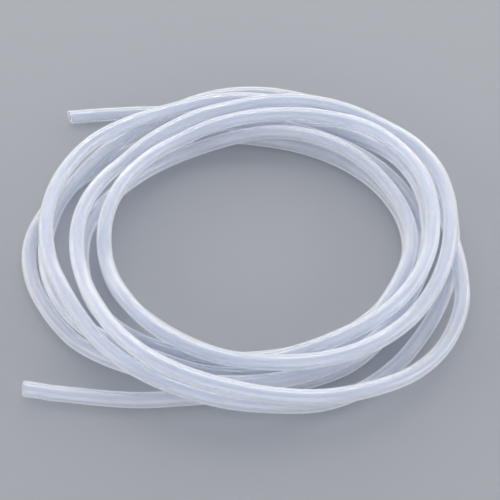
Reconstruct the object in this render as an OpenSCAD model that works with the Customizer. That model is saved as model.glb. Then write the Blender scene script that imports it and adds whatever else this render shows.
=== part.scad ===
// Loose coil of clear milky silicone tube, one length, lying on its flat side.
// Millimetres, z up, the floor under the coil is z = 0. Clock places are given in degrees,
// 0 at the right and 90 at the back, and the tube runs clockwise from its back end.

/* [Tube] */
// Outside diameter of the tube
tube_od = 9.5; // [8.5:0.1:9.6]
// Bore of the tube
bore_d = 4.8; // [3:0.1:6.6]

/* [Lay] */
// Air left where one strand rests over another
lay_gap = 0.5; // [0.3:0.05:0.8]
// How fast a strand comes down beside a crossing
lay_fall = 1.3; // [1.1:0.1:1.8]

/* [Ends] */
// Straight run at each cut end
end_run = 20; // [12:1:22]

/* [Hidden] */

sides = 12;
step_deg = 12;
turn_steps = 360 / step_deg;
hour_deg = 30;
first_deg = 132;
coil_steps = 225;
ease_steps = 6;
lay_rounds = 6;
round_fn = 64;
// The skin's flat sides keep the area of its circle, and the bore's lie just outside their circle
skin_factor = sqrt(PI / (sides / 2 * sin(360 / sides)));
bore_factor = 1.005 / cos(180 / sides);
// How far a round end reaches over the ring it grows from
end_lap = 2;
cut_over = 1;

// Distance from the coil's axis at each hour of the clock from 90 degrees on, a turn in each row
hour_radius = [
    119.5, 118, 119, 113, 110.5, 114.5, 117.5, 123.5, 133.5, 141, 127.5, 114,
    100.5, 98.5, 101, 102, 97, 93, 92.5, 99.5, 108, 105.5, 93, 91,
    94, 98.5, 100, 102, 100.5, 103.5, 104, 110.5, 125.5, 130, 124, 128,
    139.5, 144, 141, 130, 127, 132, 132.5, 130.5, 124, 129, 131, 122.5,
    126, 134, 131, 127.5, 143, 142.5, 133, 124, 112, 108.5, 104, 105.5,
    116, 131.5, 134.5, 126.5, 122, 118.5, 108, 100.5, 94, 92, 90.5, 94,
    101.5, 117.5, 119.5, 115, 110.5, 104, 101, 94.5, 91, 93.5, 100.5, 101.8,
    106.5, 106, 109.5, 112, 107.5, 113.5, 115.5
];
// Where each tail leaves the coil, on the same clock places as the coil
back_radius = [167, 146.5, 132.5, 123.5];
front_radius = [118.5, 127, 141, 159.5];
// Tips of the tails and the way each one points
back_tip = [-126.9, 122.1];
back_way = [-0.993, -0.118];
front_tip = [-132, -113.9];
front_way = [-0.984, 0.178];
// The hour before the first and after the last one of the table
hour_before = 146.5;
hour_after = 141;

// Turns from the lowest to the highest where they cross, on the right and on the left
right_order = [1, 7, 0, 2, 3, 4, 6, 5];
left_order = [-1, 7, 0, 6, 1, 2, 3, 4, 5];
left_from = 100;
left_to = 210;
seam_deg = 104;

function hour_list() = concat([hour_before], hour_radius, [hour_after]);

// A smooth value between the hours b and c, with their neighbours a and d
function smooth(a, b, c, d, t) =
    b + 0.5 * t * (c - a + t * (2 * a - 5 * b + 4 * c - d + t * (3 * (b - c) + d - a)));

function coil_radius(table, place) =
    let (last = len(table) - 3)
    let (k = min(max(floor(place) + 1, 1), last))
    smooth(table[k - 1], table[k], table[k + 1], table[k + 2], place + 1 - k);

function coil_part(table) = [
    for (m = [0 : coil_steps - 1]) coil_radius(table, ((90 - 84) + step_deg * m) / hour_deg)
];

radii = concat(back_radius, coil_part(hour_list()), front_radius);
last_ring = len(radii) - 1;

function ring_deg(i) = first_deg - step_deg * i;

function turn_of(i) = floor((seam_deg - ring_deg(i)) / 360);

function clock_deg(i) = ring_deg(i) - 360 * floor(ring_deg(i) / 360);

function on_left(i) = clock_deg(i) > left_from && clock_deg(i) < left_to;

function rank(i) = search(turn_of(i), on_left(i) ? left_order : right_order)[0];

function in_row(i) = i >= 0 && i <= last_ring;

function side_gap(i, k) = radii[i] - radii[k];

// The least sideways gap of two strands near one clock place
function near_gap(i, k) = min([
    abs(side_gap(i, k)),
    for (s = [-1, 1]) if (in_row(i + s) && in_row(k + s)) abs(side_gap(i, k) + side_gap(i + s, k + s)) / 2
]);

// Strands laid before this one that it would touch, each with the rise it needs over them
function strands_under(i) = [
    for (k = [i % turn_steps : turn_steps : last_ring])
        if (k != i && rank(k) < rank(i) && near_gap(i, k) < tube_od + lay_gap)
            [k, sqrt(pow(tube_od + lay_gap, 2) - pow(near_gap(i, k), 2))]
];

under = [for (i = [0 : last_ring]) strands_under(i)];

function raised(z) = [for (i = [0 : last_ring]) max([tube_od / 2, for (u = under[i]) z[u[0]] + u[1]])];

// A strand rises and falls in a long low hump beside each place that lifts it
function eased(z) = [
    for (i = [0 : last_ring])
        max([for (w = [-ease_steps : ease_steps]) if (in_row(i + w)) z[i + w] - lay_fall * w * w])
];

function laid(z, rounds) = rounds == 0 ? z : laid(eased(raised(z)), rounds - 1);

heights = laid([for (i = [0 : last_ring]) tube_od / 2], lay_rounds);

function ring_point(i) = [radii[i] * cos(ring_deg(i)), radii[i] * sin(ring_deg(i)), heights[i]];

function tip_point(tip, way, back) = [tip[0] - way[0] * back, tip[1] - way[1] * back, tube_od / 2];

route = concat(
    [for (back = [end_run - end_lap, end_run]) tip_point(back_tip, back_way, back)],
    [for (i = [1 : last_ring - 1]) ring_point(i)],
    [for (back = [end_run, end_run - end_lap]) tip_point(front_tip, front_way, back)]
);
last_point = len(route) - 1;

// The coil is moved so that the middle of its box stands over the origin
route_x = [for (p = route) p[0]];
route_y = [for (p = route) p[1]];
middle = [(min(route_x) + max(route_x)) / 2, (min(route_y) + max(route_y)) / 2, 0];

function unit(v) = v / norm(v);

function way_at(i) =
    i == 0 ? unit(route[1] - route[0])
    : i == last_point ? unit(route[last_point] - route[last_point - 1])
    : unit(unit(route[i + 1] - route[i]) + unit(route[i] - route[i - 1]));

function ring(i, r) =
    let (way = way_at(i))
    let (across = unit(cross([0, 0, 1], way)))
    let (up = cross(way, across))
    [for (j = [0 : sides - 1])
        let (a = 360 * (j + 0.5) / sides)
        route[i] + across * (r * cos(a)) + up * (r * sin(a))];

function ring_start(i, skin) = (skin * len(route) + i) * sides;

function around(j) = (j + 1) % sides;

skin_faces = [
    for (i = [0 : last_point - 1]) for (j = [0 : sides - 1])
        [ring_start(i, 0) + around(j), ring_start(i, 0) + j,
         ring_start(i + 1, 0) + j, ring_start(i + 1, 0) + around(j)]
];
bore_faces = [
    for (i = [0 : last_point - 1]) for (j = [0 : sides - 1])
        [ring_start(i, 1) + j, ring_start(i, 1) + around(j),
         ring_start(i + 1, 1) + around(j), ring_start(i + 1, 1) + j]
];
end_faces = [
    for (j = [0 : sides - 1])
        [ring_start(0, 0) + j, ring_start(0, 0) + around(j),
         ring_start(0, 1) + around(j), ring_start(0, 1) + j],
    for (j = [0 : sides - 1])
        [ring_start(last_point, 0) + around(j), ring_start(last_point, 0) + j,
         ring_start(last_point, 1) + j, ring_start(last_point, 1) + around(j)]
];

module coil_tube() {
    points = [
        for (i = [0 : last_point]) each ring(i, tube_od / 2 * skin_factor),
        for (i = [0 : last_point]) each ring(i, bore_d / 2 * bore_factor)
    ];
    polyhedron(points = points, faces = concat(skin_faces, bore_faces, end_faces), convexity = 10);
}

module cut_end(tip, way) {
    translate([tip[0], tip[1], tube_od / 2])
        rotate([0, 0, atan2(way[1], way[0])])
            rotate([0, -90, 0])
                difference() {
                    cylinder(d = tube_od, h = end_run, $fn = round_fn);
                    translate([0, 0, -cut_over])
                        cylinder(d = bore_d, h = end_run + 2 * cut_over, $fn = round_fn);
                }
}

module tubing() {
    color([0.86, 0.89, 0.92, 0.7])
        translate(-middle)
            union() {
                coil_tube();
                cut_end(back_tip, back_way);
                cut_end(front_tip, front_way);
            }
}

tubing();
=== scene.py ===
import math

import bpy
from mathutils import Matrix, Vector


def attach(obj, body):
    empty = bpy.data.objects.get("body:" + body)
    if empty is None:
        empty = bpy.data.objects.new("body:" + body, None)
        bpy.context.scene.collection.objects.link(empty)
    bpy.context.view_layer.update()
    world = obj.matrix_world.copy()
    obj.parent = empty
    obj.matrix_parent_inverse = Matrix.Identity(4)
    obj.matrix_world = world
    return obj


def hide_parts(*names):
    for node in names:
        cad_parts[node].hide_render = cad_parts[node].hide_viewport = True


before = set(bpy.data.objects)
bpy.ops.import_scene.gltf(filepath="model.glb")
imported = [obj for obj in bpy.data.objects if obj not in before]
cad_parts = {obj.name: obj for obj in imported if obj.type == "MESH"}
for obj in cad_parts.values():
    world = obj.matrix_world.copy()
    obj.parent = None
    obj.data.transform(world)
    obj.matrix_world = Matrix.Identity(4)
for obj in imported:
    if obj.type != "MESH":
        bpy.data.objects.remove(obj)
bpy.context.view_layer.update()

# One length of clear milky silicone tube, coiled loosely on a flat floor. Metres, z up.
# Clock places are in degrees: 0 on the right, 90 at the back. The tube runs clockwise
# from its back end to its front end.

tube = {
    "outside": 0.0095,        # diameters
    "bore": 0.0048,
    "layGap": 0.0005,         # air where one strand rests over another
    "layFall": 0.0013,        # drop beside a crossing, growing with the square of the steps
    "endRun": 0.020,          # straight run at each cut end
    "sides": 48,
    "ringsPerStep": 4,        # between two points of the route
    "outerRim": 0.00030,      # radius of the cut's outer and inner edges
    "boreRim": 0.00018,
    "outerRimTurns": (0, 30, 60, 90),
    "boreRimTurns": (0, 45, 90),
    "frontSlant": 0.12,       # lean of each end's cut, out at its far side and in at the near one
    "backSlant": 0.37,
    "slantRun": 0.012,        # where the lean has died out
}

# Distance from the coil's axis at each hour of the clock from 90 degrees on, a turn in each row
hourRadius = [
    0.1195, 0.118, 0.119, 0.113, 0.1105, 0.1145, 0.1175, 0.1235, 0.1335, 0.141, 0.1275, 0.114,
    0.1005, 0.0985, 0.101, 0.102, 0.097, 0.093, 0.0925, 0.0995, 0.108, 0.1055, 0.093, 0.091,
    0.094, 0.0985, 0.100, 0.102, 0.1005, 0.1035, 0.104, 0.1105, 0.1255, 0.130, 0.124, 0.128,
    0.1395, 0.144, 0.141, 0.130, 0.127, 0.132, 0.1325, 0.1305, 0.124, 0.129, 0.131, 0.1225,
    0.126, 0.134, 0.131, 0.1275, 0.143, 0.1425, 0.133, 0.124, 0.112, 0.1085, 0.104, 0.1055,
    0.116, 0.1315, 0.1345, 0.1265, 0.122, 0.1185, 0.108, 0.1005, 0.094, 0.092, 0.0905, 0.094,
    0.1015, 0.1175, 0.1195, 0.115, 0.1105, 0.104, 0.101, 0.0945, 0.091, 0.0935, 0.1005, 0.1018,
    0.1065, 0.106, 0.1095, 0.112, 0.1075, 0.1135, 0.1155,
]
hourBefore = 0.1465
hourAfter = 0.141
backRadius = [0.167, 0.1465, 0.1325, 0.1235]      # where each tail leaves the coil
frontRadius = [0.1185, 0.127, 0.141, 0.1595]
backTip = Vector((-0.1269, 0.1221))
backWay = Vector((-0.993, -0.118))
frontTip = Vector((-0.132, -0.1139))
frontWay = Vector((-0.984, 0.178))

stepDeg = 12
hourDeg = 30
firstDeg = 132
firstCoilDeg = 84
coilSteps = 225
turnSteps = 360 // stepDeg
easeSteps = 6
layRounds = 6
rightOrder = [1, 7, 0, 2, 3, 4, 6, 5]             # turns from lowest to highest where they cross
leftOrder = [-1, 7, 0, 6, 1, 2, 3, 4, 5]
leftFrom = 100
leftTo = 210
seamDeg = 104


def smoothValue(a, b, c, d, t):
    return b + 0.5 * t * (c - a + t * (2 * a - 5 * b + 4 * c - d + t * (3 * (b - c) + d - a)))


def coilRadius(place):
    table = [hourBefore] + hourRadius + [hourAfter]
    k = min(max(math.floor(place) + 1, 1), len(table) - 3)
    return smoothValue(table[k - 1], table[k], table[k + 1], table[k + 2], place + 1 - k)


def ringDeg(i):
    return firstDeg - stepDeg * i


def rankOf(i):
    turn = math.floor((seamDeg - ringDeg(i)) / 360)
    onLeft = leftFrom < ringDeg(i) % 360 < leftTo
    return (leftOrder if onLeft else rightOrder).index(turn)


def nearGap(radii, i, k):
    here = radii[i] - radii[k]
    gaps = [abs(here)]
    for s in (-1, 1):
        if 0 <= i + s < len(radii) and 0 <= k + s < len(radii):
            gaps.append(abs(here + radii[i + s] - radii[k + s]) / 2)
    return min(gaps)


def strandsUnder(radii, i):
    reach = tube["outside"] + tube["layGap"]
    found = []
    for k in range(i % turnSteps, len(radii), turnSteps):
        if rankOf(k) < rankOf(i) and nearGap(radii, i, k) < reach:
            found.append((k, math.sqrt(reach ** 2 - nearGap(radii, i, k) ** 2)))
    return found


def layTurns(radii):
    # Each strand rests on those laid before it, and comes down beside a crossing in a long low hump
    under = [strandsUnder(radii, i) for i in range(len(radii))]
    floorHeight = tube["outside"] / 2
    heights = [floorHeight] * len(radii)
    for _ in range(layRounds):
        raised = [max([floorHeight] + [heights[k] + rise for k, rise in row]) for row in under]
        heights = []
        for i in range(len(radii)):
            near = range(max(i - easeSteps, 0), min(i + easeSteps, len(radii) - 1) + 1)
            heights.append(max(raised[j] - tube["layFall"] * (j - i) ** 2 for j in near))
    return heights


def tipPoint(tip, way, back):
    return Vector((*(tip - way * back), tube["outside"] / 2))


def tubeRoute():
    places = [(90 - firstCoilDeg + stepDeg * m) / hourDeg for m in range(coilSteps)]
    radii = backRadius + [coilRadius(place) for place in places] + frontRadius
    heights = layTurns(radii)
    route = [tipPoint(backTip, backWay, back) for back in (0, tube["endRun"] / 2, tube["endRun"])]
    for i in range(1, len(radii) - 1):
        angle = math.radians(ringDeg(i))
        route.append(Vector((radii[i] * math.cos(angle), radii[i] * math.sin(angle), heights[i])))
    route += [tipPoint(frontTip, frontWay, back) for back in (tube["endRun"], tube["endRun"] / 2, 0)]
    return route


def footprintMiddle(route):
    xs = [point.x for point in route]
    ys = [point.y for point in route]
    return Vector(((min(xs) + max(xs)) / 2, (min(ys) + max(ys)) / 2, 0.0))


def denseLine(points, perStep):
    line = []
    last = len(points) - 1
    for i in range(last):
        a = points[i - 1] if i > 0 else points[0] * 2 - points[1]
        d = points[i + 2] if i + 2 <= last else points[last] * 2 - points[last - 1]
        for s in range(perStep):
            point = smoothValue(a, points[i], points[i + 1], d, s / perStep)
            point.z = max(point.z, tube["outside"] / 2)
            line.append(point)
    line.append(points[last])
    return line


def lineWays(line):
    ways = []
    for i in range(len(line)):
        ways.append((line[min(i + 1, len(line) - 1)] - line[max(i - 1, 0)]).normalized())
    return ways


print("route")
axisRoute = tubeRoute()
aim = -footprintMiddle(axisRoute)                  # the coil's axis, in the part's own frame
route = [point + aim for point in axisRoute]

print("camera")
camera = {
    "elevation": 47.5,        # degrees above the floor
    "distance": 0.850,        # from the coil's axis
    "lens": 95.04,            # millimetres, as the sensor's width
    "sensor": 36.0,
}
tilt = math.radians(camera["elevation"])
forward = Vector((0.0, math.cos(tilt), -math.sin(tilt)))
cameraData = bpy.data.cameras.new("coilCamera")
cameraData.lens = camera["lens"]
cameraData.sensor_width = camera["sensor"]
cameraObject = bpy.data.objects.new("coilCamera", cameraData)
cameraObject.location = aim - forward * camera["distance"]
cameraObject.rotation_euler = (math.pi / 2 - tilt, 0.0, 0.0)
bpy.context.scene.collection.objects.link(cameraObject)
bpy.context.scene.camera = cameraObject

print("tube")


def leanOfCut(run, whole):
    atBack = max(0.0, 1 - run / tube["slantRun"])
    atFront = max(0.0, 1 - (whole - run) / tube["slantRun"])
    return tube["backSlant"] * atBack + tube["frontSlant"] * atFront


def ringAround(centre, way, radius, lean):
    across = Vector((0, 0, 1)).cross(way).normalized()
    up = way.cross(across)
    ring = []
    for j in range(tube["sides"]):
        a = math.tau * j / tube["sides"]
        # the first point lies underneath, where the grain's seam is out of sight
        side = math.sin(a) * radius
        ring.append(centre + across * side - up * math.cos(a) * radius - way * lean * side)
    return ring


def rimSteps():
    # (distance back from the cut, radius) from the outer skin, over the cut face, into the bore
    outer = tube["outside"] / 2
    inner = tube["bore"] / 2
    steps = []
    for turn in tube["outerRimTurns"]:
        a = math.radians(turn)
        edge = tube["outerRim"]
        steps.append((edge * (1 - math.sin(a)), outer - edge * (1 - math.cos(a))))
    steps.append((0.0, (outer + inner) / 2))
    for turn in tube["boreRimTurns"]:
        a = math.radians(turn)
        edge = tube["boreRim"]
        steps.append((edge * (1 - math.cos(a)), inner + edge * (1 - math.sin(a))))
    return steps


def makeTube(route):
    line = denseLine(route, tube["ringsPerStep"])
    ways = lineWays(line)
    run = [0.0]
    for a, b in zip(line, line[1:]):
        run.append(run[-1] + (b - a).length)
    rings = []                                     # (centre, way, radius, distance along the tube)
    for i in range(1, len(line) - 1):
        rings.append((line[i], ways[i], tube["outside"] / 2, run[i]))
    for back, radius in rimSteps():
        rings.append((line[-1] - ways[-1] * back, ways[-1], radius, run[-1] - back))
    for i in range(len(line) - 2, 0, -1):
        rings.append((line[i], ways[i], tube["bore"] / 2, run[i]))
    for back, radius in reversed(rimSteps()):
        rings.append((line[0] + ways[0] * back, ways[0], radius, back))
    sides = tube["sides"]
    verts = []
    for centre, way, radius, along in rings:
        verts += ringAround(centre, way, radius, leanOfCut(along, run[-1]))
    faces = []
    grain = []
    for i in range(len(rings)):
        k = (i + 1) % len(rings)
        for j in range(sides):
            n = (j + 1) % sides
            faces.append((i * sides + j, i * sides + n, k * sides + n, k * sides + j))
            grain += [(j / sides, rings[i][3]), ((j + 1) / sides, rings[i][3]),
                      ((j + 1) / sides, rings[k][3]), (j / sides, rings[k][3])]
    mesh = bpy.data.meshes.new("tubingSkin")
    mesh.from_pydata(verts, [], faces)
    layer = mesh.uv_layers.new(name="grain")
    layer.data.foreach_set("uv", [value for pair in grain for value in pair])
    mesh.update()
    mesh.shade_smooth()
    piece = bpy.data.objects.new("siliconeTube", mesh)
    bpy.context.scene.collection.objects.link(piece)
    return piece, line, run[-1]


tubePiece, centreLine, tubeLength = makeTube(route)
print("tube length", round(tubeLength, 4), "metres,", len(tubePiece.data.polygons), "faces")

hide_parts("tubing")
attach(tubePiece, "root")

print("silicone")


def addNode(tree, kind, place, **values):
    node = tree.nodes.new(kind)
    node.location = place
    for name, value in values.items():
        if name in node.inputs:
            node.inputs[name].default_value = value
        else:
            setattr(node, name, value)
    return node


silicone = {
    "refraction": 1.41,
    "clear": (0.74, 0.79, 0.90, 1.0),
    "milkShade": (0.90, 0.92, 0.975, 1.0),
    "milkLight": (0.95, 0.965, 1.0, 1.0),
    "toneRange": (0.35, 0.65),                    # of the streaks, from the shade to the light
    "scatterShare": 0.6,
    "scatterSpread": (1.0, 1.0, 1.0),             # the same in red, green and blue
    "scatterDepth": 0.005,
    "lampThrough": (0.74, 0.75, 0.77, 1.0),       # of a lamp's light, at each skin
    "milkInFront": 0.27,      # share of milk where the wall is seen straight on
    "milkAtEdge": 1.0,        # and where it is seen along its skin, partly a painted rim highlight
    "edgeRange": (0.25, 0.62),                    # how far the skin has turned from one to the other
    "milkStreaks": 0.05,      # what a streak adds to it
    "hazeRange": (0.42, 0.68),                    # of the streaks, from none of it to all
    "streaksAround": 9.0,
    "streaksPerMetre": 0.8,
    "roughness": (0.10, 0.13),                    # from one streak to the next
    "lineStrength": 0.008,
    "lineDepth": 0.0002,
    "skinShare": 0.6,         # of a glossy skin over the silicone
    "skinRoughness": 0.05,
    "bloom": 0.7,             # soft whiteness where the skin turns away
    "bloomRoughness": 0.35,
}


def makeSilicone():
    material = bpy.data.materials.new("milkySilicone")
    material.use_nodes = True
    tree = material.node_tree
    clear = tree.nodes["Principled BSDF"]
    clear.inputs["Base Color"].default_value = silicone["clear"]
    clear.inputs["IOR"].default_value = silicone["refraction"]
    clear.inputs["Transmission Weight"].default_value = 1.0
    milk = addNode(tree, "ShaderNodeBsdfPrincipled", (0, -500))
    milk.inputs["IOR"].default_value = silicone["refraction"]
    milk.inputs["Subsurface Weight"].default_value = silicone["scatterShare"]
    milk.inputs["Subsurface Radius"].default_value = silicone["scatterSpread"]
    milk.inputs["Subsurface Scale"].default_value = silicone["scatterDepth"]
    # Streaks that drawing the tube left along its length
    grain = addNode(tree, "ShaderNodeUVMap", (-1400, 0), uv_map="grain")
    stretch = addNode(tree, "ShaderNodeMapping", (-1200, 0))
    stretch.inputs["Scale"].default_value = (silicone["streaksAround"], silicone["streaksPerMetre"], 1.0)
    streaks = addNode(tree, "ShaderNodeTexNoise", (-1000, 0), Scale=1.0)
    tree.links.new(grain.outputs["UV"], stretch.inputs["Vector"])
    tree.links.new(stretch.outputs["Vector"], streaks.inputs["Vector"])
    tone = addNode(tree, "ShaderNodeValToRGB", (-550, -200))
    shades = (silicone["milkShade"], silicone["milkLight"])
    for stop, place, shade in zip(tone.color_ramp.elements, silicone["toneRange"], shades):
        stop.position = place
        stop.color = shade
    tree.links.new(streaks.outputs["Fac"], tone.inputs["Fac"])
    tree.links.new(tone.outputs["Color"], milk.inputs["Base Color"])
    gloss = addNode(tree, "ShaderNodeMapRange", (-550, 200))
    gloss.inputs["To Min"].default_value = silicone["roughness"][0]
    gloss.inputs["To Max"].default_value = silicone["roughness"][1]
    tree.links.new(streaks.outputs["Fac"], gloss.inputs["Value"])
    lines = addNode(tree, "ShaderNodeBump", (-300, -400))
    lines.inputs["Strength"].default_value = silicone["lineStrength"]
    lines.inputs["Distance"].default_value = silicone["lineDepth"]
    tree.links.new(streaks.outputs["Fac"], lines.inputs["Height"])
    for shader in (clear, milk):
        shader.inputs["Coat Weight"].default_value = silicone["skinShare"]
        shader.inputs["Coat Roughness"].default_value = silicone["skinRoughness"]
        shader.inputs["Coat IOR"].default_value = silicone["refraction"]
        shader.inputs["Sheen Weight"].default_value = silicone["bloom"]
        shader.inputs["Sheen Roughness"].default_value = silicone["bloomRoughness"]
        tree.links.new(gloss.outputs["Result"], shader.inputs["Roughness"])
        tree.links.new(lines.outputs["Normal"], shader.inputs["Normal"])
    # A cloudy wall looks whiter along its edges, where the way through it is longest; the whitening by
    # facing is also a painted rim highlight
    edge = addNode(tree, "ShaderNodeLayerWeight", (-800, 500))
    depthAndPaintedRim = addNode(tree, "ShaderNodeMapRange", (-550, 500), interpolation_type="SMOOTHSTEP")
    depthAndPaintedRim.inputs["From Min"].default_value = silicone["edgeRange"][0]
    depthAndPaintedRim.inputs["From Max"].default_value = silicone["edgeRange"][1]
    depthAndPaintedRim.inputs["To Min"].default_value = silicone["milkInFront"]
    depthAndPaintedRim.inputs["To Max"].default_value = silicone["milkAtEdge"]
    tree.links.new(edge.outputs["Facing"], depthAndPaintedRim.inputs["Value"])
    haze = addNode(tree, "ShaderNodeMapRange", (-550, 750))
    haze.inputs["From Min"].default_value = silicone["hazeRange"][0]
    haze.inputs["From Max"].default_value = silicone["hazeRange"][1]
    haze.inputs["To Max"].default_value = silicone["milkStreaks"]
    tree.links.new(streaks.outputs["Fac"], haze.inputs["Value"])
    cloudAndPaintedRim = addNode(tree, "ShaderNodeMath", (-300, 500), operation="ADD", use_clamp=True)
    tree.links.new(haze.outputs["Result"], cloudAndPaintedRim.inputs[0])
    tree.links.new(depthAndPaintedRim.outputs["Result"], cloudAndPaintedRim.inputs[1])
    # mixes in the milk by streaks and by facing, the latter partly a painted rim highlight
    cloudyWithPaintedRim = addNode(tree, "ShaderNodeMixShader", (350, 100))
    tree.links.new(cloudAndPaintedRim.outputs["Value"], cloudyWithPaintedRim.inputs["Fac"])
    tree.links.new(clear.outputs["BSDF"], cloudyWithPaintedRim.inputs[1])
    tree.links.new(milk.outputs["BSDF"], cloudyWithPaintedRim.inputs[2])
    # Lamps reach through the silicone, so that its shadow is a light one
    through = addNode(tree, "ShaderNodeBsdfTransparent", (350, -200), Color=silicone["lampThrough"])
    rays = addNode(tree, "ShaderNodeLightPath", (350, 500))
    lit = addNode(tree, "ShaderNodeMixShader", (600, 100))
    tree.links.new(rays.outputs["Is Shadow Ray"], lit.inputs["Fac"])
    tree.links.new(cloudyWithPaintedRim.outputs["Shader"], lit.inputs[1])
    tree.links.new(through.outputs["BSDF"], lit.inputs[2])
    tree.links.new(lit.outputs["Shader"], tree.nodes["Material Output"].inputs["Surface"])
    return material


tubePiece.data.materials.append(makeSilicone())

print("floor and light")
stage = {
    "floorColour": (0.475, 0.49, 0.515, 1.0),
    "floorRoughness": 0.75,
    "floorSize": 5.2,
    "airColour": (0.82, 0.84, 0.90, 1.0),
    "airStrength": 0.42,
    "wallColour": (0.95, 0.96, 1.0, 1.0),
    "wallStrength": 1.0,
}

softboxes = {                                      # each one looks at the middle of the floor
    "topBack": {"place": (0.1, 1.5, 1.8), "size": (3.2, 1.6), "power": 16.0},
    "leftSide": {"place": (-2.2, 0.2, 0.70), "size": (2.4, 0.8), "power": 14.8},
    "rightSide": {"place": (2.2, 0.2, 0.70), "size": (2.4, 0.8), "power": 14.8},
    "backSide": {"place": (0.0, 2.4, 0.80), "size": (2.8, 0.8), "power": 14.8},
    "frontSide": {"place": (0.0, -2.4, 0.70), "size": (2.8, 0.8), "power": 14.8},
}


def makeFloor():
    half = stage["floorSize"] / 2
    mesh = bpy.data.meshes.new("floor")
    corners = [(-half, -half, 0), (half, -half, 0), (half, half, 0), (-half, half, 0)]
    mesh.from_pydata(corners, [], [(0, 1, 2, 3)])
    floorPiece = bpy.data.objects.new("floor", mesh)
    bpy.context.scene.collection.objects.link(floorPiece)
    material = bpy.data.materials.new("paleFloor")
    material.use_nodes = True
    shader = material.node_tree.nodes["Principled BSDF"]
    shader.inputs["Base Color"].default_value = stage["floorColour"]
    shader.inputs["Roughness"].default_value = stage["floorRoughness"]
    mesh.materials.append(material)


def makeSoftbox(name, box):
    data = bpy.data.lights.new(name, "AREA")
    data.shape = "RECTANGLE"
    data.size = box["size"][0]
    data.size_y = box["size"][1]
    data.energy = box["power"]
    lamp = bpy.data.objects.new(name, data)
    lamp.location = box["place"]
    lamp.rotation_euler = (-Vector(box["place"])).to_track_quat("-Z", "Y").to_euler()
    bpy.context.scene.collection.objects.link(lamp)


def makeRoom():
    room = bpy.data.worlds.new("room")
    room.use_nodes = True
    tree = room.node_tree
    air = tree.nodes["Background"]
    air.inputs["Color"].default_value = stage["airColour"]
    air.inputs["Strength"].default_value = stage["airStrength"]
    # Gloss and glass show the room's white walls
    walls = addNode(tree, "ShaderNodeBackground", (0, -200))
    walls.inputs["Color"].default_value = stage["wallColour"]
    walls.inputs["Strength"].default_value = stage["wallStrength"]
    rays = addNode(tree, "ShaderNodeLightPath", (-400, 200))
    seen = addNode(tree, "ShaderNodeMath", (-200, 200), operation="ADD", use_clamp=True)
    tree.links.new(rays.outputs["Is Glossy Ray"], seen.inputs[0])
    tree.links.new(rays.outputs["Is Transmission Ray"], seen.inputs[1])
    both = addNode(tree, "ShaderNodeMixShader", (200, 0))
    tree.links.new(seen.outputs["Value"], both.inputs["Fac"])
    tree.links.new(air.outputs["Background"], both.inputs[1])
    tree.links.new(walls.outputs["Background"], both.inputs[2])
    tree.links.new(both.outputs["Shader"], tree.nodes["World Output"].inputs["Surface"])
    return room


makeFloor()
for name, box in softboxes.items():
    makeSoftbox(name, box)
bpy.context.scene.world = makeRoom()
bpy.context.scene.view_settings.view_transform = "Standard"
